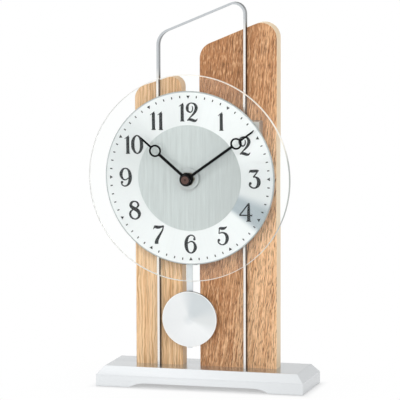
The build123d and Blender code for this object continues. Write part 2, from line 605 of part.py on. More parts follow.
def stator_core():
    """The bar under the motor coil, as its lower and upper height."""
    middle = ROTOR_AT[1] - STATOR_BAR / 2
    return middle - STATOR_BAR / 2, middle + STATOR_BAR / 2


def motor_stator():
    hole, outer = MAGNET_R + LOOSE, MAGNET_R + LOOSE + STATOR_RING
    low, high = stator_core()
    top = high + MOTOR_COIL_R + STATOR_RETURN
    x, z = ROTOR_AT
    outline = Pos(x, z) * Circle(outer) + span(x + hole, STATOR_RIGHT, low, high)
    outline += span(STATOR_RIGHT - STATOR_BAR, STATOR_RIGHT, low, top)
    outline += span(x + outer, STATOR_RIGHT, top - STATOR_RETURN, top)
    outline -= Pos(x, z) * Circle(hole)
    return plate(outline, MOTOR_Y - STATOR_T / 2, MOTOR_Y + STATOR_T / 2)


def motor_coil():
    low, high = stator_core()
    coil = lengthwise(MOTOR_COIL_R, MOTOR_COIL_X0, MOTOR_COIL_X1, MOTOR_Y, (low + high) / 2)
    return coil - slab(MOTOR_COIL_X0 - 1, MOTOR_COIL_X1 + 1, MOTOR_Y - STATOR_T / 2 - SNUG,
                       MOTOR_Y + STATOR_T / 2 + SNUG, low - SNUG, high + SNUG)


PCB_FRONT = COVER_IN - PCB_STAND - PCB_T


def circuit_board():
    return plate(span(PCB_X0, PCB_X1, PCB_Z0, PCB_Z1), PCB_FRONT, PCB_FRONT + PCB_T)


def control_chip():
    x, z = PCB_X0 + CHIP_SIZE, (PCB_Z0 + PCB_Z1) / 2
    half = CHIP_SIZE / 2
    return slab(x - half, x + half, PCB_FRONT - CHIP_T, PCB_FRONT, z - half, z + half)


def quartz_crystal():
    x, z = PCB_X1 - 2 * CRYSTAL_R, (PCB_Z0 + PCB_Z1) / 2
    return Pos(x, PCB_FRONT - CRYSTAL_R - SNUG, z) * Cylinder(CRYSTAL_R, CRYSTAL_L)


def battery():
    body = lengthwise(CELL_R, -CELL_L / 2, CELL_L / 2 - CELL_NUB_L, CELL_Y, CELL_AT)
    return body + lengthwise(CELL_NUB_R, CELL_L / 2 - CELL_NUB_L, CELL_L / 2, CELL_Y, CELL_AT)


def battery_contact(side):
    """A leaf on the case's end wall, with a nub that meets the battery: side is -1 or 1."""
    leaf = CASE_SIDE - CONTACT_T
    half = CONTACT_W / 2
    outline = sorted((side * leaf, side * CASE_SIDE))
    body = slab(*outline, CELL_Y - half, CELL_Y + half, CELL_AT - half, CELL_AT + half)
    nub = sorted((side * (CELL_L / 2 + RUNNING), side * leaf))
    return body + lengthwise(CONTACT_NUB_R, *nub, CELL_Y, CELL_AT)


# Pendulum

SWING_MAGNET_BACK = HANGER_BACK + SWING_MAGNET_T
SWING_COIL_FRONT = SWING_MAGNET_BACK + SWING_GAP
SWING_COIL_BACK = SWING_COIL_FRONT + SWING_COIL_T
PIVOT_HUB_BACK = HANGER_BACK + PIVOT_HUB_PROUD
PIVOT_BOSS = PIVOT_HUB_BACK + LOOSE
PEG_Z = HANGER_END + PEG_RISE


def pendulum_pin():
    return disc(PIN_R, PIVOT_FRONT, PIVOT_REAR, PIVOT_AT)


def pendulum_hanger():
    """The arm on the pivot pin, with a wide foot and the peg that takes the rod."""
    middle = PENDULUM_X
    half, foot = HANGER_W / 2, HANGER_FOOT_W / 2
    foot_top = HANGER_END + HANGER_FOOT_H
    outline = span(middle - half, middle + half, HANGER_END, PIVOT_Z) + Pos(middle, PIVOT_Z) * Circle(half)
    shoulder = Polygon((middle - foot, HANGER_END), (middle + foot, HANGER_END), (middle + foot, foot_top),
                       (middle + half, foot_top + foot - half), (middle - half, foot_top + foot - half),
                       (middle - foot, foot_top), align=None)
    body = plate(outline + shoulder, HANGER_FRONT, HANGER_BACK)
    body += disc(PIVOT_HUB_R, CASE_IN + LOOSE, PIVOT_HUB_BACK, (middle, PIVOT_Z))
    body -= disc(PIN_R + RUNNING, CASE_IN, COVER_IN, (middle, PIVOT_Z))
    body += disc(PEG_R, ROD_FRONT - SNUG, HANGER_FRONT, (middle, PEG_Z))
    return body + disc(PEG_HEAD_R, ROD_FRONT - SNUG - ROD_T, ROD_FRONT - SNUG, (middle, PEG_Z))


def hanger_magnet():
    return disc(SWING_MAGNET_R, HANGER_BACK, SWING_MAGNET_BACK, SWING_AT)


def pendulum_coil():
    return ring(SWING_COIL_R, SWING_CORE_R + SNUG, SWING_COIL_FRONT, SWING_COIL_BACK)


def pendulum_rod():
    half = ROD_W / 2
    top, bottom = HANGER_END + ROD_LAP, BOB_Z - BOB_R - ROD_TAIL
    outline = span(PENDULUM_X - half, PENDULUM_X + half, bottom, top)
    outline = fillet(outline.vertices(), half / 2)
    outline -= Pos(PENDULUM_X, PEG_Z) * Circle(PEG_R + SNUG)
    return plate(outline, ROD_FRONT, HANGER_FRONT)


def pendulum_bob():
    """A disc with a domed front and a narrow flat rim."""
    edge = BOB_FRONT + BOB_CROWN
    rise = BOB_R - 2 * BOB_ROUND
    dome_r = (rise ** 2 + BOB_CROWN ** 2) / (2 * BOB_CROWN)
    half_way = rise / 2
    half_sag = dome_r - (dome_r ** 2 - half_way ** 2) ** 0.5
    lines = [
        Line((0, ROD_FRONT), (BOB_R, ROD_FRONT)),
        Line((BOB_R, ROD_FRONT), (BOB_R, edge)),
        Line((BOB_R, edge), (rise, edge)),
        ThreePointArc((rise, edge), (half_way, BOB_FRONT + half_sag), (0, BOB_FRONT)),
        Line((0, BOB_FRONT), (0, ROD_FRONT)),
    ]
    body = revolve(make_face(lines), Axis.Y)
    rim = [e for e in body.edges().filter_by(GeomType.CIRCLE) if e.radius > BOB_R - 0.01]
    return Pos(PENDULUM_X, 0, BOB_Z) * fillet(rim, BOB_ROUND)


def bob_clip():
    """The spring clip behind the bob that grips the rod."""
    half = ROD_W / 2 + EASY
    outline = span(-CLIP_W / 2, CLIP_W / 2, -CLIP_H / 2, CLIP_H / 2)
    body = plate(outline, ROD_FRONT, HANGER_FRONT + CLIP_T)
    body -= plate(span(-half, half, -CLIP_H, CLIP_H), ROD_FRONT, HANGER_FRONT)
    return Pos(PENDULUM_X, 0, BOB_Z) * body


os.makedirs("parts", exist_ok=True)

save("base_plinth", base_plinth())
save("foot_pads", foot_pads())
save("left_board", board(LEFT_X0, LEFT_X1, LEFT_LOW, LEFT_R_LOW, LEFT_R_HIGH, LEFT_SLOPE))
save("right_board", board(RIGHT_X0, RIGHT_X1, RIGHT_LOW, RIGHT_R_LOW, RIGHT_R_HIGH, TOP_SLOPE))
save("board_screws", board_screws())
save("metal_strip", metal_strip())
save("carrier_box", carrier_box())
save("carrier_screws", carrier_screws())
save("dial_plate", ring(DIAL_R, BUSH_R + EASY, DIAL_FRONT, CARRIER_FRONT, DIAL_BEVEL), CLOCK)
save("dial_centre_disc", ring(DISC_R, BUSH_R + EASY, DISC_FRONT, DIAL_FRONT), CLOCK)
save("glass_disc", ring(GLASS_R, BUSH_R + EASY, GLASS_FRONT, GLASS_BACK, GLASS_BEVEL), CLOCK)
save("glass_washer", ring(WASHER_R, BUSH_R + EASY, WASHER_FRONT, GLASS_FRONT), CLOCK)
save("bushing_nut", bushing_nut(), CLOCK)
save("hour_hand", hand(HOUR_TIP, HOUR_RING, HOUR_RING_R, HOUR_W, PIPE_R + SNUG, HOUR_ANGLE,
                       HOUR_FRONT), CLOCK)
save("minute_hand", hand(MINUTE_TIP, MINUTE_RING, MINUTE_RING_R, MINUTE_W, MINUTE_R + SNUG, MINUTE_ANGLE,
                         MINUTE_FRONT), CLOCK)
save("hand_nut", hand_nut(), CLOCK)
save("movement_case", movement_case(), CLOCK)
save("movement_cover", movement_cover(), CLOCK)
save("movement_screws", movement_screws(), CLOCK)
save("minute_arbor", minute_arbor(), CLOCK)
save("motion_wheel", motion_wheel(), CLOCK)
save("hour_wheel", hour_wheel(), CLOCK)
save("setting_arbor", setting_arbor(), CLOCK)
save("setting_knob", setting_knob(), CLOCK)
save("centre_wheel", centre_wheel(), CLOCK)
save("third_wheel", third_wheel(), CLOCK)
save("second_wheel", second_wheel(), CLOCK)
save("intermediate_wheel", intermediate_wheel(), CLOCK)
save("rotor", rotor(), CLOCK)
save("motor_stator", motor_stator(), CLOCK)
save("motor_coil", motor_coil(), CLOCK)
save("circuit_board", circuit_board(), CLOCK)
save("control_chip", control_chip(), CLOCK)
save("quartz_crystal", quartz_crystal(), CLOCK)
save("battery", battery(), CLOCK)
save("battery_contact_negative", battery_contact(-1), CLOCK)
save("battery_contact_positive", battery_contact(1), CLOCK)
save("pendulum_pin", pendulum_pin(), CLOCK)
save("pendulum_hanger", pendulum_hanger())
save("hanger_magnet", hanger_magnet(), CLOCK)
save("pendulum_coil", Pos(PIVOT_SIDE, 0, -SWING_DROP) * pendulum_coil(), CLOCK)
save("pendulum_rod", pendulum_rod())
save("pendulum_bob", pendulum_bob())
save("bob_clip", bob_clip())
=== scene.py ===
import math

import bmesh
import bpy
from mathutils import Matrix, Vector

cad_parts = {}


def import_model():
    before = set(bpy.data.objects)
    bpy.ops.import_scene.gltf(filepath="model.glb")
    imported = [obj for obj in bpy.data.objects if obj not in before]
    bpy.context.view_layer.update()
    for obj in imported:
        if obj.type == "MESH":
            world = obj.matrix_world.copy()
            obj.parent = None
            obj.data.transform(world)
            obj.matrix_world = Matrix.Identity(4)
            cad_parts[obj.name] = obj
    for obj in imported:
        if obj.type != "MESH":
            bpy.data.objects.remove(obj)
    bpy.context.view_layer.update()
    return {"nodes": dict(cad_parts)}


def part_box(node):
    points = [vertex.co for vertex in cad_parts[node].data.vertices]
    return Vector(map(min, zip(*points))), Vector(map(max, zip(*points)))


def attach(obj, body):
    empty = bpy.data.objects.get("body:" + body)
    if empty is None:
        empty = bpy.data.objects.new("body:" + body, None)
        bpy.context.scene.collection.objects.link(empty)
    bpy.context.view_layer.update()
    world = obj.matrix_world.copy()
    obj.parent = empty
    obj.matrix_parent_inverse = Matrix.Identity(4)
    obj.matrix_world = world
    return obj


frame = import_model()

MM = 0.001

# Places read from the CAD nodes, in metres

dial_low, dial_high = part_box("dial_plate")
DIAL_X = (dial_low[0] + dial_high[0]) / 2
DIAL_Z = (dial_low[2] + dial_high[2]) / 2
DIAL_R = (dial_high[0] - dial_low[0]) / 2
DIAL_FRONT = dial_low[1]
bob_low, bob_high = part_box("pendulum_bob")
BOB_X = (bob_low[0] + bob_high[0]) / 2
BOB_Z = (bob_low[2] + bob_high[2]) / 2
BOB_R = (bob_high[0] - bob_low[0]) / 2
foot_low, foot_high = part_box("base_plinth")
FOOT_MIDDLE = [(foot_low[k] + foot_high[k]) / 2 for k in (0, 1)]
FOOT_HALF = [(foot_high[k] - foot_low[k]) / 2 for k in (0, 1)]
hub_low, hub_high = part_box("hand_nut")
HUB_R = (hub_high[0] - hub_low[0]) / 2

# Above a slanted line that follows the boards' tops the strip's painted light changes: its front turns greyer
# and its sides paler
HOOP_SLANT = 0.57
HOOP_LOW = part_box("left_board")[1][2] + 17 * MM
HOOP_HIGH = HOOP_LOW + 14 * MM


# Node helpers

class Nodes:
    """Builds one material's node tree."""

    def __init__(self, name):
        self.mat = bpy.data.materials.new(name)
        self.mat.use_nodes = True
        self.tree = self.mat.node_tree
        self.bsdf = self.tree.nodes["Principled BSDF"]
        self.out = self.tree.nodes["Material Output"]

    def new(self, kind, **values):
        node = self.tree.nodes.new(kind)
        for key, value in values.items():
            setattr(node, key, value)
        return node

    def feed(self, socket, value):
        if isinstance(value, bpy.types.NodeSocket):
            self.tree.links.new(value, socket)
        else:
            socket.default_value = value

    def place(self, scale=(1, 1, 1), shift=(0, 0, 0)):
        """Object coordinates in metres, moved by shift and then scaled."""
        coord = self.new("ShaderNodeTexCoord").outputs["Object"]
        moved = self.new("ShaderNodeVectorMath", operation="ADD")
        self.feed(moved.inputs[0], coord)
        moved.inputs[1].default_value = shift
        scaled = self.new("ShaderNodeVectorMath", operation="MULTIPLY")
        self.feed(scaled.inputs[0], moved.outputs[0])
        scaled.inputs[1].default_value = scale
        return scaled.outputs[0]

    def noise(self, vector, detail=4.0, rough=0.55, distort=0.0):
        node = self.new("ShaderNodeTexNoise")
        self.feed(node.inputs["Vector"], vector)
        node.inputs["Scale"].default_value = 1.0
        node.inputs["Detail"].default_value = detail
        node.inputs["Roughness"].default_value = rough
        node.inputs["Distortion"].default_value = distort
        return node.outputs["Fac"]

    def math(self, operation, a, b=0.0):
        node = self.new("ShaderNodeMath", operation=operation)
        self.feed(node.inputs[0], a)
        self.feed(node.inputs[1], b)
        return node.outputs[0]

    def blend(self, a, b, share):
        """Two numbers added, a with its share and b with the rest."""
        return self.math("ADD", self.math("MULTIPLY", a, share), self.math("MULTIPLY", b, 1 - share))

    def split(self, vector):
        node = self.new("ShaderNodeSeparateXYZ")
        self.feed(node.inputs[0], vector)
        return node.outputs

    def join(self, x, y, z):
        node = self.new("ShaderNodeCombineXYZ")
        for socket, value in zip(node.inputs, (x, y, z)):
            self.feed(socket, value)
        return node.outputs[0]

    def ramp(self, factor, stops, smooth=False):
        node = self.new("ShaderNodeValToRGB")
        node.color_ramp.interpolation = "EASE" if smooth else "LINEAR"
        elements = node.color_ramp.elements
        while len(elements) < len(stops):
            elements.new(1.0)
        for element, (at, colour) in zip(elements, stops):
            element.position = at
            element.color = (*colour, 1.0)
        self.feed(node.inputs[0], factor)
        return node.outputs[0]

    def grey(self, factor, low, high, at=(0.0, 1.0)):
        """A number that runs from low to high while the factor runs between the two values of at."""
        node = self.new("ShaderNodeMapRange")
        self.feed(node.inputs["Value"], factor)
        node.inputs["From Min"].default_value = at[0]
        node.inputs["From Max"].default_value = at[1]
        node.inputs["To Min"].default_value = low
        node.inputs["To Max"].default_value = high
        return node.outputs[0]

    def mix(self, factor, a, b):
        node = self.new("ShaderNodeMix", data_type="RGBA")
        self.feed(node.inputs[0], factor)
        self.feed(node.inputs[6], a if isinstance(a, bpy.types.NodeSocket) else (*a, 1.0))
        self.feed(node.inputs[7], b if isinstance(b, bpy.types.NodeSocket) else (*b, 1.0))
        return node.outputs[2]

    def normal(self):
        return self.split(self.new("ShaderNodeNewGeometry").outputs["Normal"])

    def facing(self, at):
        """1 on faces that look forward or back, 0 on the edges between them."""
        return self.grey(self.math("ABSOLUTE", self.normal()[1]), 0.0, 1.0, at)

    def bump(self, height, strength, depth):
        node = self.new("ShaderNodeBump")
        node.inputs["Strength"].default_value = strength
        node.inputs["Distance"].default_value = depth
        self.feed(node.inputs["Height"], height)
        self.tree.links.new(node.outputs[0], self.bsdf.inputs["Normal"])

    def set(self, **values):
        for name, value in values.items():
            self.feed(self.bsdf.inputs[name.replace("_", " ")], value)
        return self.mat

    def show(self, factor, other):
        """Puts another shader over the material where the factor is 1."""
        both = self.new("ShaderNodeMixShader")
        self.feed(both.inputs[0], factor)
        self.tree.links.new(self.bsdf.outputs[0], both.inputs[1])
        self.tree.links.new(other.outputs[0], both.inputs[2])
        self.tree.links.new(both.outputs[0], self.out.inputs[0])
        return self.mat


def srgb(r, g, b):
    """A screen colour, 0 to 255, as linear numbers."""
    out = []
    for value in (r, g, b):
        value = value / 255
        out.append(value / 12.92 if value <= 0.04045 else ((value + 0.055) / 1.055) ** 2.4)
    return tuple(out)


def times(colour, factor):
    return tuple(factor * c for c in colour)


def around(colour, amount):
    """A ramp's stops from a little darker than the colour to a little brighter."""
    return [(0.3, times(colour, 1 - amount)), (0.7, tuple(min(1.0, c) for c in times(colour, 1 + amount)))]


def turn(nodes, x, z):
    """The turn round a centre, from 0 at the bottom clockwise through 0.5 at the top to 1, and the radius."""
    place = nodes.split(nodes.place(shift=(-x, 0, -z)))
    angle = nodes.math("ARCTAN2", place[0], place[2])
    part = nodes.math("ADD", nodes.math("MULTIPLY", angle, 1 / (2 * math.pi)), 0.5)
    across = nodes.math("MULTIPLY", place[0], place[0])
    up = nodes.math("MULTIPLY", place[2], place[2])
    radius = nodes.math("SQRT", nodes.math("ADD", across, up))
    return part, radius


def clock(hour_angle):
    """Where an angle clockwise from 12, in degrees, lies on the scale of turn()."""
    return ((hour_angle + 180) % 360) / 360


# Materials. The scales of the noises are waves per metre, and the bumps' depths are metres

FINE_BUMP = 0.03 * MM
LINE_BUMP = 0.04 * MM
DARK_LINE = (0.3, 0.31, 0.32)
RING_LINE, RAY_LINE = (0.55, 0.58, 0.6), (0.6, 0.63, 0.65)


def wood(name, node, pale, mid, dark, edge, fleck, strips, lean, dim, slant, short):
    """Oak veneer with plain edges. Its grain leans by slant, and its fibres are longer where short is small.
    It turns paler to the right by lean and darker upward by dim."""
    n = Nodes(name)
    low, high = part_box(node)
    seed = 10 * low[0]
    wander = n.noise(n.place((60, 60, 55), (seed, 0, seed)), detail=2)
    place = n.split(n.place(shift=(seed, 0, seed)))
    x = n.math("ADD", place[0], n.math("MULTIPLY", wander, 4 * MM))
    x = n.math("ADD", x, n.math("MULTIPLY", place[2], slant))

    def grain(across, along, **more):
        return n.noise(n.join(n.math("MULTIPLY", x, across), 0.0, n.math("MULTIPLY", place[2], along)),
                       **more)

    def spots(noise, at, share):
        return n.math("MULTIPLY", n.grey(noise, 0.0, 1.0, at), share)

    fibre = grain(720, 26 * short, detail=3)
    flakes = grain(1250, 150 * short, detail=2, distort=0.15)
    pores = grain(950, 40 * short, detail=3)
    broad = grain(strips, 4, detail=2)
    where = n.split(n.place())
    rightward = n.grey(where[0], -lean, lean, (low[0], high[0]))
    upward = n.grey(where[2], 0.0, dim, (low[2], high[2]))
    tone = n.math("SUBTRACT", n.math("ADD", n.blend(fibre, broad, 0.7), rightward), upward)
    face = n.ramp(tone, [(0.39, dark), (0.5, mid), (0.61, pale)])
    deep = times(dark, 0.42)
    face = n.mix(spots(flakes, (0.46, 0.36), fleck), face, deep)
    face = n.mix(spots(pores, (0.45, 0.35), fleck), face, deep)
    face = n.mix(spots(flakes, (0.56, 0.66), 0.7 * fleck), face, times(pale, 1.12))
    band = n.noise(n.place((30, 900, 30)), detail=3)
    side = n.mix(n.grey(band, 0.0, 0.25), edge, times(edge, 0.7))
    n.bump(n.math("ADD", fibre, n.math("MULTIPLY", flakes, 0.6)), 0.25, 0.15 * MM)
    return n.set(Base_Color=n.mix(n.facing((0.6, 0.85)), side, face), Roughness=n.grey(fibre, 0.42, 0.58),
                 Specular_IOR_Level=0.35)


def brushed(name, colour, metallic, rough, direction, amount):
    """Metal with fine lines: direction holds the noise scales along X, Y and Z."""
    n = Nodes(name)
    lines = n.noise(n.place(direction), detail=5, rough=0.6)
    cloud = n.noise(n.place((18, 18, 18)), detail=3)
    n.bump(lines, 0.12, LINE_BUMP)
    return n.set(Base_Color=n.ramp(n.blend(lines, cloud, 0.7), around(colour, amount)), Metallic=metallic,
                 Roughness=n.grey(lines, rough - 0.06, rough + 0.06))


def edged(name, front, front_high, side, side_high, metallic, rough):
    """Brushed strip with painted light: a lit tone along its narrow front, painted shade on its broad faces,
    and other painted tones high up.
    """
    n = Nodes(name)
    lines = n.noise(n.place((12, 1400, 12)), detail=5, rough=0.6)
    place = n.split(n.place())
    slanted = n.math("SUBTRACT", place[2], n.math("MULTIPLY", place[0], HOOP_SLANT))
    high = n.grey(slanted, 0.0, 1.0, (HOOP_LOW, HOOP_HIGH))
    # Painted light: a lit front and shaded faces, with their other tones above the slanted line
    colour = n.mix(n.facing((0.45, 0.7)), n.mix(high, side, side_high), n.mix(high, front, front_high))
    colour = n.mix(n.grey(lines, 0.0, 0.07), colour, DARK_LINE)
    n.bump(lines, 0.05, LINE_BUMP)
    return n.set(Base_Color=colour, Metallic=metallic, Roughness=n.grey(lines, rough - 0.06, rough + 0.06),
                 Specular_Tint=(0.45, 0.45, 0.45, 1.0))


def satin(name, colour, metallic, rough, grain=900, amount=0.06, bump=0.06, **more):
    """A fine-grained even finish, for lacquer, moulded plastic and plated metal."""
    n = Nodes(name)
    speck = n.noise(n.place((grain, grain, grain)), detail=4)
    cloud = n.noise(n.place((25, 25, 25)), detail=2)
    n.bump(speck, bump, FINE_BUMP)
    return n.set(Base_Color=n.ramp(n.blend(speck, cloud, 0.5), around(colour, amount)), Metallic=metallic,
                 Roughness=n.grey(speck, rough - 0.05, rough + 0.05), **more)


def drawn(name, colour, metallic, rough):
    """Bar metal with a fine grain and long soft streaks along its length, with painted shade that turns it
    greyer to the right.
    """
    n = Nodes(name)
    speck = n.noise(n.place((700, 700, 700)), detail=4)
    streaks = n.noise(n.place((2.5, 45, 110)), detail=1)
    face = n.ramp(streaks, [(0.35, times(colour, 0.92)), (0.6, colour)], smooth=True)
    # Painted shade: the colour greys towards the right end
    right = n.grey(n.split(n.place())[0], 0.0, 1.0, (-0.3 * FOOT_HALF[0], FOOT_HALF[0]))
    n.bump(speck, 0.012, FINE_BUMP)
    return n.set(Base_Color=n.mix(right, face, times(colour, 0.87)), Metallic=metallic,
                 Roughness=n.grey(speck, rough - 0.05, rough + 0.05), Specular_Tint=(0.8, 0.8, 0.8, 1.0))


def spun(name, x, z, stops, level, rough, metallic, centre, fade, rim, rim_tone, side=None):
    """Metal turned about a centre: fine rings, a painted reflection that changes round it and fades to an
    even middle, and a rim of one tone. Side tones, when given, paint light and shade on its edge by how it
    faces up or down.
    """
    n = Nodes(name)
    part, radius = turn(n, x, z)
    rings = n.noise(n.join(n.math("MULTIPLY", radius, 2600), n.math("MULTIPLY", part, 9), 0.0), detail=4)
    rays = n.noise(n.join(n.math("MULTIPLY", part, 160), n.math("MULTIPLY", radius, 12), 0.0), detail=3)
    # Painted reflection: tones placed by angle round the centre
    painted_sheen = n.ramp(part, [(at, times(srgb(*tone), level)) for at, tone in stops], smooth=True)
    painted_sheen = n.mix(n.grey(radius, 0.0, 1.0, (0.0, fade)), times(srgb(*centre), level), painted_sheen)
    painted_sheen = n.mix(n.grey(radius, 0.0, 0.85, rim), painted_sheen, srgb(*rim_tone))
    colour = n.mix(n.grey(rings, 0.0, 0.05), painted_sheen, RING_LINE)
    colour = n.mix(n.grey(rays, 0.0, 0.09, (0.45, 0.75)), colour, RAY_LINE)
    if side:
        # Painted light and shade on the edge, by whether it faces down or up
        upright = n.grey(n.normal()[2], 0.0, 1.0, (-1.0, 1.0))
        colour = n.mix(n.facing((0.5, 0.85)), n.ramp(upright, side), colour)
    n.bump(rings, 0.05, FINE_BUMP)
    return n.set(Base_Color=colour, Metallic=metallic, Roughness=n.grey(rings, rough - 0.05, rough + 0.05))


def streaked(name, colour, metallic, rough):
    """Sheet brushed upright, with fine lines in broader streaks, darker to the right of the dial's middle."""
    n = Nodes(name)
    fine = n.noise(n.place((1500, 300, 14)), detail=3)
    wide = n.noise(n.place((560, 100, 30)), detail=4, rough=0.65)
    n.bump(fine, 0.1, LINE_BUMP)
    face = n.ramp(n.blend(fine, wide, 0.35), [(0.33, times(colour, 0.88)), (0.67, times(colour, 1.1))])
    right = n.grey(n.split(n.place())[0], 0.0, 0.34, (DIAL_X, DIAL_X + 0.6 * DIAL_R))
    return n.set(Base_Color=n.mix(right, face, times(colour, 0.55)), Metallic=metallic,
                 Roughness=n.grey(fine, rough - 0.06, rough + 0.06))


def turned_hub(name, x, z):
    """A dark turned knob: rings of bronze round a dimple, black towards the rim, the paler rings painted
    highlights.
    """
    n = Nodes(name)
    radius = turn(n, x, z)[1]
    colour = n.ramp(n.math("MULTIPLY", radius, 1 / HUB_R), HUB_RINGS)
    speck = n.noise(n.place((900, 900, 900)), detail=3)
    n.bump(speck, 0.05, FINE_BUMP)
    return n.set(Base_Color=colour, Metallic=0.5, Roughness=n.grey(speck, 0.26, 0.38))


def glass(name):
    """Clear sheet with a ground rim whose tones round it are painted reflections. Shadow rays pass it almost
    whole.
    """
    n = Nodes(name)
    smear = n.noise(n.place((12, 12, 12)), detail=3)
    flat = n.facing((0.75, 0.95))
    # Painted reflection: the rim's tones change round the glass
    rim = n.ramp(turn(n, DIAL_X, DIAL_Z)[0], GLASS_RIM_REFLECTIONS)
    n.set(Base_Color=n.mix(flat, rim, (0.99, 1.0, 0.995)), IOR=1.4, Specular_IOR_Level=0.32,
          Roughness=n.math("ADD", n.grey(smear, 0.0, 0.02), n.grey(flat, 0.3, 0.0)),
          Transmission_Weight=n.grey(flat, 0.15, 1.0))
    clear = n.new("ShaderNodeBsdfTransparent")
    clear.inputs[0].default_value = (0.97, 0.985, 0.978, 1.0)
    return n.show(n.new("ShaderNodeLightPath").outputs["Is Shadow Ray"], clear)


def wound(name):
    """Enamelled copper wire in close turns."""
    n = Nodes(name)
    wave = n.new("ShaderNodeTexWave", wave_type="BANDS", bands_direction="X")
    n.feed(wave.inputs["Vector"], n.place())
    wave.inputs["Scale"].default_value = 900
    colour = n.ramp(wave.outputs["Fac"], [(0.1, (0.24, 0.08, 0.03)), (0.8, (0.62, 0.27, 0.1))])
    n.bump(wave.outputs["Fac"], 0.5, 0.1 * MM)
    return n.set(Base_Color=colour, Metallic=0.7, Roughness=n.grey(wave.outputs["Fac"], 0.4, 0.28))


def circuit(name):
    """Green board with paler tracks."""
    n = Nodes(name)
    tracks = n.new("ShaderNodeTexVoronoi", feature="DISTANCE_TO_EDGE")
    n.feed(tracks.inputs["Vector"], n.place((260, 260, 260)))
    line = n.grey(tracks.outputs["Distance"], 1.0, 0.0, (0.04, 0.07))
    colour = n.mix(line, (0.02, 0.13, 0.05), (0.08, 0.28, 0.12))
    n.bump(line, 0.2, 0.05 * MM)
    return n.set(Base_Color=colour, Roughness=n.grey(line, 0.45, 0.3))


def cell_can(name):
    """A plain battery can: slate body with a pale band at the nub end."""
    n = Nodes(name)
    low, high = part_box("battery")
    part = n.grey(n.split(n.place())[0], 0.0, 1.0, (low[0], high[0]))
    slate, band, steel = (0.07, 0.1, 0.13), (0.42, 0.46, 0.48), (0.6, 0.6, 0.6)
    colour = n.ramp(part, [(0.0, steel), (0.03, slate), (0.84, slate), (0.85, band), (0.96, band),
                           (0.97, steel)])
    scuff = n.noise(n.place((300, 300, 300)), detail=4)
    n.bump(scuff, 0.04, FINE_BUMP)
    return n.set(Base_Color=colour, Metallic=0.6, Roughness=n.grey(scuff, 0.25, 0.4))


# Painted reflections: a few tones of sheen placed by angle round the dial, the bob and the glass's rim, and
# painted highlight rings by radius on the hub

RING_LEVEL, BOB_LEVEL = 0.888, 0.92
BRIGHT, SOFT, DULL = (246, 248, 248), (239, 241, 241), (226, 229, 229)
GREY, SHADE = (209, 215, 217), (170, 181, 187)
RING_REFLECTION_TONES = [
    (clock(-180), BRIGHT), (clock(-150), BRIGHT), (clock(-115), SOFT), (clock(-72), DULL), (clock(-52), DULL),
    (clock(-36), SOFT), (clock(2), SOFT), (clock(16), BRIGHT), (clock(60), BRIGHT), (clock(88), DULL),
    (clock(103), DULL), (clock(113), SHADE), (clock(123), SHADE), (clock(129), BRIGHT), (1.0, BRIGHT),
]
BOB_REFLECTION_TONES = [
    (clock(-180), BRIGHT), (clock(-90), SOFT), (clock(-30), SOFT), (clock(16), GREY), (clock(50), GREY),
    (clock(95), DULL), (clock(130), BRIGHT), (1.0, BRIGHT),
]
# Painted reflection tones for the glass's rim
RIM_PALE, RIM_WHITE = (0.8, 0.8, 0.77), (0.9, 0.9, 0.88)
RIM_CREAM, RIM_DIM = (1.0, 0.96, 0.86), (0.4, 0.44, 0.42)
GLASS_RIM_REFLECTIONS = [
    (clock(-180), RIM_PALE), (clock(-110), RIM_WHITE), (clock(-70), RIM_WHITE), (clock(-40), RIM_PALE),
    (clock(10), RIM_CREAM), (clock(68), RIM_CREAM), (clock(80), RIM_DIM), (clock(112), RIM_DIM),
    (clock(132), RIM_PALE), (1.0, RIM_PALE),
]
# BRONZE_LIT is a painted highlight tone for the hub's rings
BRONZE, BRONZE_LIT, BRONZE_BLACK = srgb(66, 47, 42), srgb(116, 89, 81), srgb(13, 11, 11)
HUB_RINGS = [
    (0.0, BRONZE), (0.22, BRONZE), (0.34, BRONZE_LIT), (0.5, BRONZE), (0.62, BRONZE_LIT), (0.72, BRONZE),
    (0.84, BRONZE_BLACK), (1.0, BRONZE_BLACK),
]
# The bob's edge, from its underside to its top: a painted highlight below and painted shade along the top
SIDE_HIGHLIGHT, SIDE_SHADE = srgb(195, 194, 194), srgb(57, 62, 63)
BOB_SIDE_SHADING = [(0.0, SIDE_HIGHLIGHT), (0.6, SIDE_HIGHLIGHT), (0.9, SIDE_SHADE), (1.0, SIDE_SHADE)]
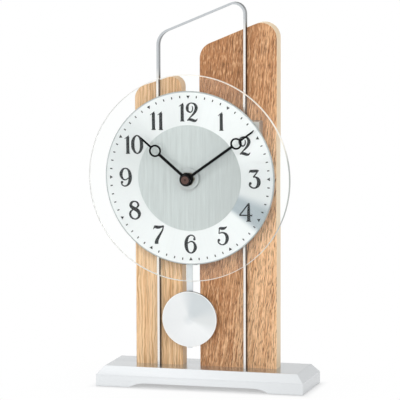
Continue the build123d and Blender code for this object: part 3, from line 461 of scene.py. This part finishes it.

# The rod's darker side tone is painted shade beside its lit front
ROD_FRONT, ROD_SHADED_SIDE = srgb(219, 224, 227), srgb(140, 144, 148)
MATERIALS = {
    "plinth": drawn("plinth_satin", srgb(240, 243, 245), 0.92, 0.24),
    "felt": satin("felt_pad", (0.03, 0.03, 0.032), 0.0, 0.9, grain=2500, amount=0.4, bump=0.5),
    # The pale board's edge tone, darker than the warm board's, is painted shade from the narrow gap between
    # the boards
    "oak_left": wood("oak_pale", "left_board", pale=srgb(249, 218, 176), mid=srgb(237, 198, 154),
                     dark=srgb(206, 157, 107), edge=srgb(220, 186, 146), fleck=0.42, strips=150, lean=-0.02,
                     dim=0.05, slant=0.0, short=0.4),
    "oak_right": wood("oak_warm", "right_board", pale=srgb(240, 198, 155), mid=srgb(217, 168, 124),
                      dark=srgb(178, 124, 82), edge=srgb(240, 216, 182), fleck=0.86, strips=60, lean=0.08,
                      dim=0.14, slant=-0.1, short=1.0),
    "steel": satin("plated_steel", (0.5, 0.5, 0.51), 1.0, 0.3),
    # The strip's pale front tone is painted light and its dark side tone painted shade; their high tones are
    # painted reflection
    "strip": edged("strip_brushed", front=srgb(248, 245, 240), front_high=srgb(200, 204, 207),
                   side=srgb(126, 123, 120), side_high=srgb(180, 182, 184), metallic=0.92, rough=0.28),
    "silver": satin("silver_lacquer", srgb(178, 176, 170), 0.6, 0.35, grain=1600),
    "ring": spun("dial_spun", DIAL_X, DIAL_Z, RING_REFLECTION_TONES, RING_LEVEL, rough=0.34, metallic=0.25,
                 centre=(236, 239, 239), fade=0.2 * DIAL_R, rim=(0.982 * DIAL_R, 0.991 * DIAL_R),
                 rim_tone=(150, 157, 158)),
    "disc": streaked("disc_brushed", srgb(193, 199, 198), 0.3, 0.38),
    "washer": brushed("washer_brushed", srgb(196, 203, 202), 0.2, 0.35, (900, 400, 900), 0.05),
    "glass": glass("clear_glass"),
    "brass": satin("dull_brass", srgb(158, 150, 132), 0.9, 0.35),
    "hands": satin("hand_lacquer", (0.003, 0.003, 0.0035), 0.0, 0.5, amount=0.3, Specular_IOR_Level=0.12),
    "bronze": turned_hub("dark_bronze", DIAL_X, DIAL_Z),
    # The bob's pale rim tone is a painted highlight
    "bob": spun("bob_spun", BOB_X, BOB_Z, BOB_REFLECTION_TONES, BOB_LEVEL, rough=0.55, metallic=0.1,
                centre=(226, 230, 231), fade=0.25 * BOB_R, rim=(0.955 * BOB_R, 0.985 * BOB_R),
                rim_tone=(252, 251, 248), side=BOB_SIDE_SHADING),
    "rod": edged("rod_brushed", front=ROD_FRONT, front_high=ROD_FRONT, side=ROD_SHADED_SIDE, side_high=ROD_SHADED_SIDE,
                 metallic=0.8, rough=0.32),
    "case": satin("moulded_black", (0.022, 0.022, 0.024), 0.0, 0.48, grain=1800, amount=0.3, bump=0.2),
    "wheels": satin("moulded_acetal", srgb(233, 229, 216), 0.0, 0.4),
    "magnet": satin("ground_magnet", (0.12, 0.12, 0.125), 0.9, 0.42),
    "copper": wound("wound_copper"),
    "board": circuit("circuit_green"),
    "cell": cell_can("cell_can"),
    "print": satin("print_slate", srgb(13, 18, 22), 0.0, 0.6, grain=2200, amount=0.15,
                   Specular_IOR_Level=0.1),
}

DRESS = {
    "plinth": ["base_plinth"],
    "felt": ["foot_pads"],
    "oak_left": ["left_board"],
    "oak_right": ["right_board"],
    "steel": ["board_screws", "carrier_screws", "movement_screws", "minute_arbor", "setting_arbor",
              "motor_stator", "quartz_crystal", "battery_contact_negative", "battery_contact_positive",
              "pendulum_pin", "bob_clip"],
    "strip": ["metal_strip"],
    "silver": ["carrier_box"],
    "ring": ["dial_plate"],
    "disc": ["dial_centre_disc"],
    "washer": ["glass_washer"],
    "glass": ["glass_disc"],
    "brass": ["bushing_nut"],
    "hands": ["hour_hand", "minute_hand"],
    "bronze": ["hand_nut"],
    "bob": ["pendulum_bob"],
    "rod": ["pendulum_rod"],
    "case": ["movement_case", "movement_cover", "control_chip", "pendulum_hanger", "setting_knob"],
    "wheels": ["motion_wheel", "hour_wheel", "centre_wheel", "third_wheel", "second_wheel",
               "intermediate_wheel"],
    "magnet": ["rotor", "hanger_magnet"],
    "copper": ["motor_coil", "pendulum_coil"],
    "board": ["circuit_board"],
    "cell": ["battery"],
}
for finish, names in DRESS.items():
    for name in names:
        for holder in frame["nodes"][name].material_slots:
            holder.material = MATERIALS[finish]


# Dial print: numerals, and a track of triangles and dashes

PRINT_T = 0.05 * MM
PRINT_TURN = math.radians(0.9)
NUMERAL_H = 16.7 * MM
NUMERAL_RADIUS = 58.7 * MM
TRACK_RADIUS = 72.3 * MM

# Each glyph is drawn on a height of 1: strokes as (x, y, width), balls as (x, y, radius), and flat shapes
GLYPHS = {
    "1": {"width": 0.30, "strokes": [[(0.185, 0.0, 0.125), (0.185, 0.5, 0.12), (0.19, 0.9, 0.12)],
                                     [(0.07, 0.02, 0.035), (0.30, 0.02, 0.035)]],
          "shapes": [[(0.0, 0.80), (0.03, 0.78), (0.09, 0.83), (0.13, 0.82), (0.25, 0.82), (0.25, 1.0)]]},
    "2": {"width": 0.64, "strokes": [
        [(0.34, 0.82, 0.035), (0.36, 0.68, 0.045), (0.32, 0.55, 0.045), (0.22, 0.49, 0.05),
         (0.10, 0.56, 0.085), (0.065, 0.70, 0.115), (0.10, 0.86, 0.085), (0.21, 0.96, 0.05),
         (0.34, 0.975, 0.045), (0.48, 0.91, 0.085), (0.555, 0.76, 0.12), (0.52, 0.58, 0.11),
         (0.40, 0.40, 0.08), (0.24, 0.24, 0.05), (0.09, 0.08, 0.04)],
        [(0.05, 0.05, 0.03), (0.16, 0.10, 0.09), (0.28, 0.09, 0.11), (0.40, 0.05, 0.11),
         (0.50, 0.04, 0.085), (0.57, 0.09, 0.05), (0.62, 0.16, 0.015)]]},
    "3": {"width": 0.62, "strokes": [
        [(0.12, 0.92, 0.10), (0.30, 0.925, 0.11), (0.46, 0.94, 0.10), (0.58, 0.97, 0.035)],
        [(0.57, 0.96, 0.035), (0.44, 0.80, 0.05), (0.29, 0.61, 0.055)],
        [(0.27, 0.60, 0.035), (0.40, 0.61, 0.06), (0.53, 0.52, 0.12), (0.58, 0.35, 0.145),
         (0.53, 0.16, 0.12), (0.39, 0.04, 0.065), (0.23, 0.04, 0.055), (0.09, 0.14, 0.065),
         (0.07, 0.24, 0.06)]],
        "balls": [(0.115, 0.27, 0.075)],
        "shapes": [[(0.02, 0.80), (0.10, 0.99), (0.19, 0.95), (0.15, 0.88)]]},
    "4": {"width": 0.74, "strokes": [[(0.53, 0.0, 0.125), (0.53, 0.5, 0.115), (0.545, 0.90, 0.085)],
                                     [(0.54, 0.97, 0.05), (0.30, 0.66, 0.05), (0.04, 0.345, 0.055)],
                                     [(0.02, 0.33, 0.055), (0.40, 0.325, 0.05), (0.70, 0.325, 0.05)],
                                     [(0.39, 0.02, 0.035), (0.66, 0.02, 0.035)]],
          "shapes": [[(0.50, 0.86), (0.59, 0.86), (0.585, 1.0), (0.54, 0.98)],
                     [(0.66, 0.30), (0.71, 0.25), (0.74, 0.42), (0.69, 0.36)]]},
    "5": {"width": 0.62, "strokes": [
        [(0.13, 0.93, 0.03), (0.20, 0.905, 0.10), (0.34, 0.895, 0.11), (0.46, 0.93, 0.08),
         (0.56, 1.0, 0.02)],
        [(0.145, 0.92, 0.045), (0.13, 0.76, 0.04), (0.115, 0.61, 0.04)],
        [(0.11, 0.60, 0.03), (0.22, 0.66, 0.045), (0.35, 0.665, 0.06), (0.50, 0.58, 0.105),
         (0.565, 0.39, 0.13), (0.51, 0.17, 0.10), (0.38, 0.045, 0.055), (0.23, 0.035, 0.045),
         (0.09, 0.13, 0.055), (0.06, 0.23, 0.05)]],
        "balls": [(0.105, 0.265, 0.075)]},
    "6": {"width": 0.64, "strokes": [
        [(0.555, 0.80, 0.06), (0.50, 0.92, 0.05), (0.37, 0.975, 0.05), (0.23, 0.92, 0.07),
         (0.12, 0.77, 0.11), (0.07, 0.52, 0.135), (0.10, 0.25, 0.115), (0.20, 0.075, 0.07),
         (0.335, 0.025, 0.05), (0.47, 0.09, 0.08), (0.575, 0.30, 0.125), (0.53, 0.52, 0.09),
         (0.41, 0.63, 0.055), (0.29, 0.62, 0.045), (0.13, 0.52, 0.04)]],
        "balls": [(0.53, 0.765, 0.07)]},
    "7": {"width": 0.61, "strokes": [
        [(0.09, 0.95, 0.06), (0.20, 0.905, 0.12), (0.33, 0.895, 0.11), (0.46, 0.925, 0.08),
         (0.60, 0.97, 0.05)],
        [(0.585, 0.98, 0.045), (0.52, 0.74, 0.06), (0.38, 0.50, 0.085), (0.25, 0.28, 0.115),
         (0.19, 0.12, 0.14), (0.185, 0.0, 0.145)]],
        "shapes": [[(0.0, 0.79), (0.03, 0.78), (0.13, 0.87), (0.15, 0.93), (0.08, 1.0)]]},
    "8": {"width": 0.62, "strokes": [
        [(0.30, 0.97, 0.05), (0.155, 0.92, 0.085), (0.085, 0.78, 0.11), (0.15, 0.66, 0.13),
         (0.30, 0.575, 0.14), (0.47, 0.47, 0.14), (0.56, 0.30, 0.12), (0.49, 0.105, 0.08),
         (0.31, 0.025, 0.05), (0.12, 0.11, 0.075), (0.045, 0.29, 0.09), (0.10, 0.44, 0.07),
         (0.23, 0.55, 0.05), (0.40, 0.63, 0.055), (0.51, 0.77, 0.08), (0.44, 0.92, 0.065),
         (0.30, 0.97, 0.05)]]},
    "9": {"width": 0.64, "strokes": [
        [(0.08, 0.20, 0.06), (0.13, 0.08, 0.05), (0.27, 0.025, 0.05), (0.41, 0.08, 0.07),
         (0.52, 0.23, 0.11), (0.57, 0.48, 0.135), (0.54, 0.75, 0.115), (0.44, 0.925, 0.07),
         (0.305, 0.975, 0.05), (0.17, 0.91, 0.08), (0.065, 0.70, 0.125), (0.11, 0.48, 0.09),
         (0.23, 0.37, 0.055), (0.35, 0.38, 0.045), (0.51, 0.48, 0.04)]],
        "balls": [(0.11, 0.235, 0.07)]},
    "0": {"width": 0.61, "strokes": [
        [(0.305, 0.975, 0.05), (0.16, 0.88, 0.085), (0.075, 0.68, 0.125), (0.065, 0.5, 0.13),
         (0.075, 0.32, 0.125), (0.16, 0.12, 0.085), (0.305, 0.025, 0.05), (0.45, 0.12, 0.085),
         (0.535, 0.32, 0.125), (0.545, 0.5, 0.13), (0.535, 0.68, 0.125), (0.45, 0.88, 0.085),
         (0.305, 0.975, 0.05)]]},
}
GLYPH_GAP = 0.10
INK_SPREAD = 1.42
WELD = 1e-7


def closed(points):
    return points[0][:2] == points[-1][:2]


def eased(points, steps=7):
    """A smooth run through the points, their widths too."""
    out = []
    for i in range(len(points) - 1):
        before = points[max(i - 1, 0)]
        a, b = points[i], points[i + 1]
        after = points[min(i + 2, len(points) - 1)]
        if i == 0 and closed(points):
            before = points[-2]
        if i == len(points) - 2 and closed(points):
            after = points[1]
        for k in range(steps):
            t = k / steps
            row = []
            for p, q, r, s in zip(before, a, b, after):
                row.append(0.5 * (2 * q + (r - p) * t + (2 * p - 5 * q + 4 * r - s) * t * t
                                  + (3 * q - p - 3 * r + s) * t ** 3))
            out.append(row)
    return out + [list(points[-1])]


def ribbon(points):
    """The outline of a stroke: one side there, the other side back."""
    line = eased(points) if len(points) > 2 else [list(p) for p in points]
    left, right = [], []
    for i, (x, y, width) in enumerate(line):
        ahead, behind = line[min(i + 1, len(line) - 1)], line[max(i - 1, 0)]
        if i in (0, len(line) - 1) and closed(points):
            ahead, behind = line[1], line[-2]
        dx, dy = ahead[0] - behind[0], ahead[1] - behind[1]
        size = math.hypot(dx, dy)
        half = width * INK_SPREAD / 2
        nx, ny = -dy / size * half, dx / size * half
        left.append((x + nx, y + ny))
        right.append((x - nx, y - ny))
    return left, right


class Print:
    """Thin ink on the dial, drawn in the dial's plane from its centre."""

    def __init__(self, name):
        self.name = name
        self.bm = bmesh.new()

    def point(self, x, z, raised):
        turned_x = x * math.cos(PRINT_TURN) - z * math.sin(PRINT_TURN)
        turned_z = x * math.sin(PRINT_TURN) + z * math.cos(PRINT_TURN)
        y = DIAL_FRONT - (PRINT_T if raised else 0.0)
        return self.bm.verts.new((DIAL_X + turned_x, y, DIAL_Z + turned_z))

    def shape(self, outline):
        front = [self.point(x, z, True) for x, z in outline]
        back = [self.point(x, z, False) for x, z in outline]
        self.bm.faces.new(front)
        self.bm.faces.new(list(reversed(back)))
        for i in range(len(outline)):
            j = (i + 1) % len(outline)
            self.bm.faces.new((front[i], back[i], back[j], front[j]))

    def strip(self, left, right):
        for i in range(len(left) - 1):
            self.shape([left[i], left[i + 1], right[i + 1], right[i]])

    def dot(self, x, z, radius, sides=20):
        turns = [2 * math.pi * k / sides for k in range(sides)]
        self.shape([(x + radius * math.cos(angle), z + radius * math.sin(angle)) for angle in turns])

    def done(self):
        bmesh.ops.remove_doubles(self.bm, verts=self.bm.verts, dist=WELD)
        bmesh.ops.recalc_face_normals(self.bm, faces=self.bm.faces)
        mesh = bpy.data.meshes.new(self.name)
        self.bm.to_mesh(mesh)
        self.bm.free()
        mesh.materials.append(MATERIALS["print"])
        piece = bpy.data.objects.new(self.name, mesh)
        bpy.context.scene.collection.objects.link(piece)
        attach(piece, "stand")


for hour in range(1, 13):
    ink = Print(f"numeral_{hour}")
    digits = str(hour)
    width = sum(GLYPHS[d]["width"] for d in digits) + GLYPH_GAP * (len(digits) - 1)
    angle = math.radians(30 * hour)
    middle = (NUMERAL_RADIUS * math.sin(angle), NUMERAL_RADIUS * math.cos(angle))
    pen = -width / 2
    for digit in digits:
        glyph = GLYPHS[digit]

        def spot(x, y):
            return middle[0] + (pen + x) * NUMERAL_H, middle[1] + (y - 0.5) * NUMERAL_H

        for points in glyph["strokes"]:
            left, right = ribbon(points)
            ink.strip([spot(*p) for p in left], [spot(*p) for p in right])
        for outline in glyph.get("shapes", []):
            ink.shape([spot(*p) for p in outline])
        for x, y, radius in glyph.get("balls", []):
            ink.dot(*spot(x, y), radius * NUMERAL_H)
        pen += glyph["width"] + GLYPH_GAP
    ink.done()

# A small triangle points inward at each hour, with dashes between
HOUR_MARK_R = 1.85 * MM
DASH_HALF_LENGTH, DASH_HALF_WIDTH = 1.05 * MM, 0.5 * MM
TRIANGLE = [math.radians(degrees) for degrees in (0, 120, 240)]
track = Print("minute_track")
for minute in range(60):
    angle = math.radians(6 * minute)
    out = Vector((math.sin(angle), math.cos(angle)))
    across = Vector((math.cos(angle), -math.sin(angle)))
    middle = out * TRACK_RADIUS
    if minute % 5 == 0:
        corners = [Vector((-math.sin(angle + corner), -math.cos(angle + corner))) for corner in TRIANGLE]
        track.shape([tuple(middle + HOUR_MARK_R * corner) for corner in corners])
    else:
        along, side = out * DASH_HALF_LENGTH, across * DASH_HALF_WIDTH
        track.shape([tuple(middle + along + side), tuple(middle - along + side),
                     tuple(middle - along - side), tuple(middle + along - side)])
track.done()


# Floor, world and lamps

FLOOR_HALF = 6.0
CONTACT_SHADE, SOFT_SHADE = 8 * MM, 80 * MM
LIGHT_LEVEL = 0.58
# How bright reflections find the world, from straight down at -1 to straight up at 1
GLOSS_LEVELS = [(-1.0, 1.0), (-0.02, 1.0), (0.05, 1.2), (0.16, 1.2), (0.24, 0.7), (0.5, 0.64), (0.8, 0.98),
                (0.95, 1.1), (1.0, 1.1)]
# Name, place, aim, size and power
LAMPS = [
    ("key", (0.15, -2.3, 1.25), (0.0, 0.0, 0.16), 2.0, 27.5),
    ("top", (-0.45, -0.5, 1.9), (0.0, 0.0, 0.1), 1.6, 1.2),
    ("fill", (1.7, -1.1, 0.7), (0.0, 0.0, 0.16), 1.6, 8.0),
    ("back", (-0.9, 1.6, 1.6), (0.0, 0.0, 0.16), 1.4, 20.0),
]


def floor():
    """A pale floor that shows white, but for the shade close to the plinth."""
    n = Nodes("floor_pale")
    grain = n.noise(n.place((60, 60, 60)), detail=3)
    n.set(Base_Color=n.ramp(grain, [(0.3, (0.86, 0.86, 0.86)), (0.7, (0.9, 0.9, 0.9))]),
          Roughness=0.9, Specular_IOR_Level=0.1)
    white = n.new("ShaderNodeEmission")
    path = n.new("ShaderNodeLightPath")
    seen = n.math("MAXIMUM", path.outputs["Is Camera Ray"], path.outputs["Is Glossy Ray"])
    seen = n.math("MAXIMUM", seen, path.outputs["Is Transmission Ray"])
    seen = n.math("MULTIPLY", seen, n.math("LESS_THAN", path.outputs["Diffuse Depth"], 0.5))
    place = n.split(n.place())
    beyond = []
    for k in (0, 1):
        off_middle = n.math("ABSOLUTE", n.math("SUBTRACT", place[k], FOOT_MIDDLE[k]))
        beyond.append(n.math("MAXIMUM", n.math("SUBTRACT", off_middle, FOOT_HALF[k]), 0.0))
    away = n.math("MAXIMUM", *beyond)
    glow = n.math("ADD", n.grey(away, 0.45, 0.95, (0.0, CONTACT_SHADE)),
                  n.grey(away, 0.0, 0.05, (CONTACT_SHADE, SOFT_SHADE)))
    mesh = bpy.data.meshes.new("floor")
    corners = [(x * FLOOR_HALF, y * FLOOR_HALF, 0) for x, y in ((-1, -1), (1, -1), (1, 1), (-1, 1))]
    mesh.from_pydata(corners, [], [(0, 1, 2, 3)])
    mesh.materials.append(n.show(n.math("MULTIPLY", seen, glow), white))
    piece = bpy.data.objects.new("floor", mesh)
    bpy.context.scene.collection.objects.link(piece)


def world():
    """White where the camera looks, softer above the horizon in reflections, and dimmer as plain light."""
    sky = bpy.data.worlds.new("studio")
    sky.use_nodes = True
    tree = sky.node_tree

    def new(kind, **values):
        node = tree.nodes.new(kind)
        for key, value in values.items():
            setattr(node, key, value)
        return node

    def number(operation, a, b):
        node = new("ShaderNodeMath", operation=operation)
        for socket, value in zip(node.inputs, (a, b)):
            if isinstance(value, float):
                socket.default_value = value
            else:
                tree.links.new(value, socket)
        return node.outputs[0]

    def either(factor, a, b):
        node = new("ShaderNodeMixShader")
        for socket, value in zip(node.inputs, (factor, a, b)):
            tree.links.new(value, socket)
        return node.outputs[0]

    shown = tree.nodes["Background"]
    shown.inputs[0].default_value = (1, 1, 1, 1)
    shown.inputs[1].default_value = 1.0
    lit = new("ShaderNodeBackground")
    lit.inputs[0].default_value = (0.97, 0.985, 1.0, 1)
    lit.inputs[1].default_value = LIGHT_LEVEL
    gloss = new("ShaderNodeBackground")
    height = new("ShaderNodeSeparateXYZ")
    tree.links.new(new("ShaderNodeTexCoord").outputs["Generated"], height.inputs[0])
    ramp = new("ShaderNodeValToRGB")
    elements = ramp.color_ramp.elements
    while len(elements) < len(GLOSS_LEVELS):
        elements.new(1.0)
    for element, (at, level) in zip(elements, GLOSS_LEVELS):
        element.position = (at + 1) / 2
        element.color = (level, level, level, 1)
    tree.links.new(number("MULTIPLY", number("ADD", height.outputs[2], 1.0), 0.5), ramp.inputs[0])
    tree.links.new(ramp.outputs[0], gloss.inputs[0])
    path = new("ShaderNodeLightPath")
    direct = number("LESS_THAN", path.outputs["Diffuse Depth"], 0.5)
    seen = number("MAXIMUM", path.outputs["Is Camera Ray"], path.outputs["Is Transmission Ray"])
    mirrored = either(number("MULTIPLY", path.outputs["Is Glossy Ray"], direct), lit.outputs[0],
                      gloss.outputs[0])
    tree.links.new(either(number("MULTIPLY", seen, direct), mirrored, shown.outputs[0]),
                   tree.nodes["World Output"].inputs[0])
    bpy.context.scene.world = sky


def lamp(name, place, aim, size, power):
    """A round area lamp that reflections don't show."""
    data = bpy.data.lights.new(name, "AREA")
    data.shape = "DISK"
    data.size = size
    data.energy = power
    item = bpy.data.objects.new(name, data)
    item.visible_glossy = False
    item.location = place
    item.rotation_euler = (Vector(aim) - Vector(place)).to_track_quat("-Z", "Y").to_euler()
    bpy.context.scene.collection.objects.link(item)


floor()
world()
for row in LAMPS:
    lamp(*row)


# Camera at the photograph's viewing angle

AZIMUTH, ELEVATION, ROLL = math.radians(15.2), math.radians(7.53), math.radians(-0.14)
DISTANCE = 3.198
LENS, SENSOR = 323.8, 36.0
NEAR, FAR = 0.05, 50.0
TARGET = Vector((3.9 * MM, 2.1 * MM, 165.0 * MM))
AIM_RIGHT, AIM_UP = -6.98 * MM, 1.46 * MM

back = Vector((math.sin(AZIMUTH) * math.cos(ELEVATION), -math.cos(AZIMUTH) * math.cos(ELEVATION),
               math.sin(ELEVATION)))
right = Vector((math.cos(AZIMUTH), math.sin(AZIMUTH), 0))
up = back.cross(right)
aim = TARGET + right * AIM_RIGHT + up * AIM_UP
camera = bpy.data.objects.new("camera", bpy.data.cameras.new("camera"))
camera.data.lens = LENS
camera.data.sensor_width = SENSOR
camera.data.clip_start = NEAR
camera.data.clip_end = FAR
camera.location = TARGET + back * DISTANCE
facing = (aim - camera.location).to_track_quat("-Z", "Y").to_matrix().to_4x4()
camera.rotation_euler = (facing @ Matrix.Rotation(ROLL, 4, "Z")).to_euler()
bpy.context.scene.collection.objects.link(camera)
bpy.context.scene.camera = camera
bpy.context.scene.view_settings.view_transform = "Standard"
